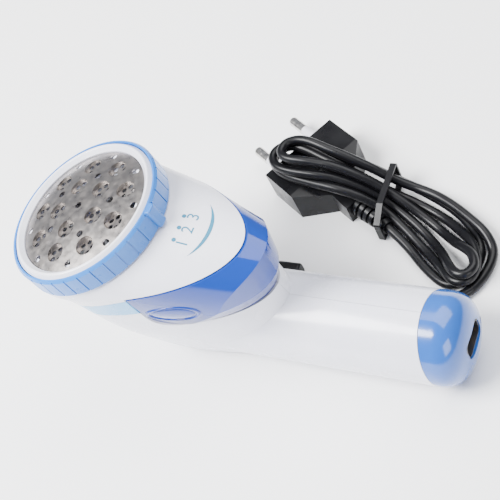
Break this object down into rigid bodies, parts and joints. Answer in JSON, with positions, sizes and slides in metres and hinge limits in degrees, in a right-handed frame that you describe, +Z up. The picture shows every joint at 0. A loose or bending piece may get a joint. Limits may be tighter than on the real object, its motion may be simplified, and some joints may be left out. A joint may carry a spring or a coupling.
{
  "type": "fabric shaver",
  "caption": "Rechargeable fabric shaver with a round foil head, height ring, pull-out lint bin, tube handle and coiled charging lead.",
  "frame": {"origin": "middle of the shaver's length and width, on the surface it lies on", "axes": "+X towards the tail cap along the handle, +Z up, +Y to the side with the switch"},
  "size_m": [0.1533, 0.1223, 0.0767],
  "materials": {
    "white_plastic": "glossy",
    "ring_blue": "glossy",
    "trim_blue": "glossy",
    "bin_blue": "translucent, glossy",
    "cap_blue": "glossy",
    "foil_steel": "satin",
    "blade_steel": "ground",
    "spring_steel": "drawn",
    "inner_white": "matt",
    "inner_grey": "matt",
    "motor_metal": "satin",
    "cell_wrap": "shrink sleeve",
    "contact_brass": "satin",
    "board_green": "matt",
    "black_plastic": "satin",
    "lamp_lens": "glossy",
    "switch_grey": "satin",
    "wire_red": "satin",
    "plug_black": "glossy",
    "pin_nickel": "polished",
    "sleeve_white": "satin",
    "cord_black": "satin"
  },
  "bodies": {
    "shaver": {"foil_disc": "foil_steel", "cutter_chamber": "inner_white", "motor_bush": "contact_brass", "motor_can": "motor_metal", "motor_end_cap": "inner_grey", "motor_screws": "blade_steel", "head_shell": "white_plastic", "trim_band": "trim_blue", "body_left": "white_plastic", "body_right": "white_plastic", "body_screws": "blade_steel", "tail_cap": "cap_blue", "inlet_socket": "black_plastic", "inlet_pins": "contact_brass", "charge_led": "lamp_lens", "battery_cell_front": "cell_wrap", "battery_cell_rear": "cell_wrap", "battery_contacts": "contact_brass", "charger_board": "board_green", "board_parts": "inner_grey", "switch_body": "black_plastic", "wiring": "wire_red", "plug_body": "plug_black", "plug_pins": "pin_nickel", "pin_sleeves": "sleeve_white", "plug_relief": "plug_black", "lead_cord": "cord_black", "lead_hank": "cord_black", "cord_tie": "cord_black", "connector_relief": "plug_black", "connector_body": "plug_black", "connector_contacts": "contact_brass"},
    "ring": {"adjust_ring": "ring_blue"},
    "guard": {"guard_rim": "white_plastic"},
    "rotor": {"motor_shaft": "blade_steel", "drive_sleeve": "inner_white", "lint_fan": "inner_white", "cutter_spring": "spring_steel"},
    "cutter": {"cutter_hub": "inner_white", "cutter_blades": "blade_steel"},
    "bin": {"lint_bin": "bin_blue"},
    "switch": {"switch_button": "switch_grey"}
  },
  "joints": [
    {"name": "ring_turn", "type": "hinge", "parent": "shaver", "child": "ring", "pos_m": [-0.04775, 0, 0.072], "axis": [-0.1599, 0, 0.9871], "range_deg": [-8, 8]},
    {"name": "guard_lift", "type": "slide", "parent": "shaver", "child": "guard", "axis": [-0.1599, 0, 0.9871], "range_m": [-0.0008, 0.0008]},
    {"name": "cutter_spin", "type": "hinge", "parent": "shaver", "child": "rotor", "pos_m": [-0.04775, 0, 0.072], "axis": [-0.1599, 0, 0.9871], "continuous": true},
    {"name": "cutter_float", "type": "slide", "parent": "rotor", "child": "cutter", "axis": [-0.1599, 0, 0.9871], "range_m": [-0.001, 0], "stiffness_N_per_m": 300, "springref_m": 0.001, "deforming": ["cutter_spring"]},
    {"name": "bin_slide", "type": "slide", "parent": "shaver", "child": "bin", "axis": [1, 0, 0], "range_m": [0, 0.044]},
    {"name": "switch_slide", "type": "slide", "parent": "shaver", "child": "switch", "axis": [1, 0, 0], "range_m": [0, 0.004]}
  ],
  "couplings": [
    {"joint": "guard_lift", "follows": "ring_turn", "m_per_rad": 0.0057295}
  ]
}
